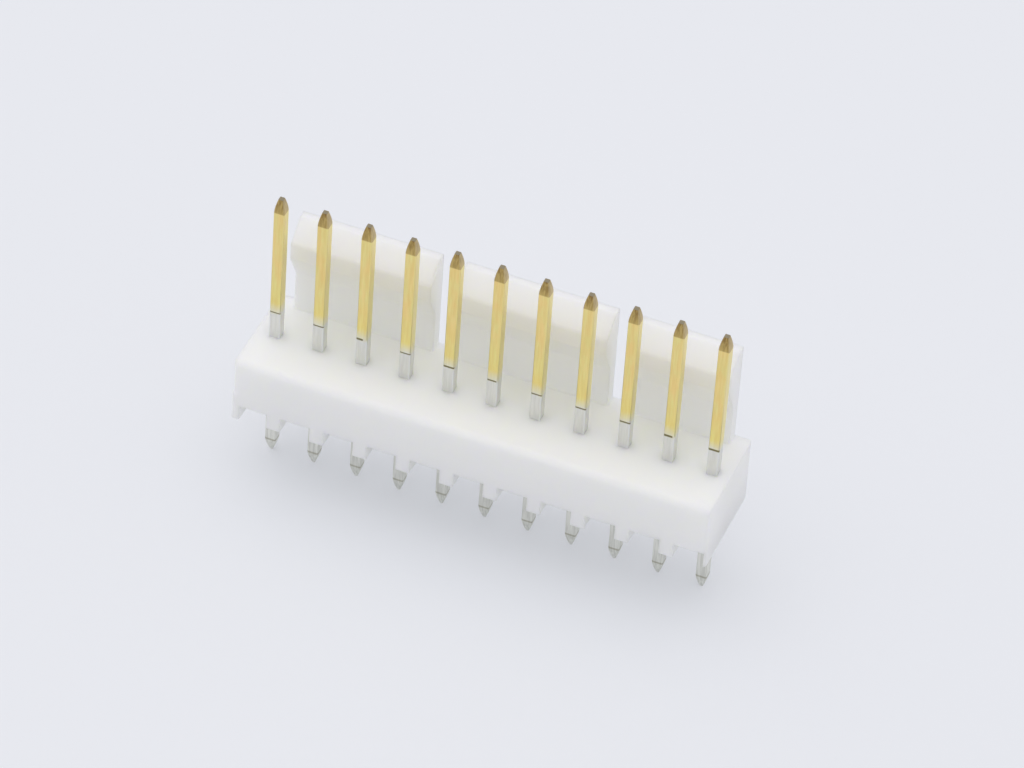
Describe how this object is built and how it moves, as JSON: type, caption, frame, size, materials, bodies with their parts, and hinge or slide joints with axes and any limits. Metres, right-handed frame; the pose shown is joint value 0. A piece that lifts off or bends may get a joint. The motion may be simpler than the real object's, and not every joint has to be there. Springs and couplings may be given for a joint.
{
  "type": "friction-lock pin header",
  "caption": "Upright board header: a row of gold-topped square posts through a white moulded base, with a slotted lock wall and solder tails.",
  "frame": {"origin": "on the board plane, where the feet rest, under the middle of the post row", "axes": "+X along the row of posts, -Y towards the open front, +Y towards the lock wall, +Z along the posts away from the board"},
  "size_m": [0.0276, 0.0062, 0.018],
  "materials": {
    "housing_nylon": "natural white nylon, slightly translucent, matt moulded",
    "post_plating": "gold plating on the upper posts, tin plating near the base and on the tails"
  },
  "bodies": {
    "root": {"housing": "housing_nylon", "pin_01": "post_plating", "pin_02": "post_plating", "pin_03": "post_plating", "pin_04": "post_plating", "pin_05": "post_plating", "pin_06": "post_plating", "pin_07": "post_plating", "pin_08": "post_plating", "pin_09": "post_plating", "pin_10": "post_plating", "pin_11": "post_plating"}
  },
  "joints": []
}
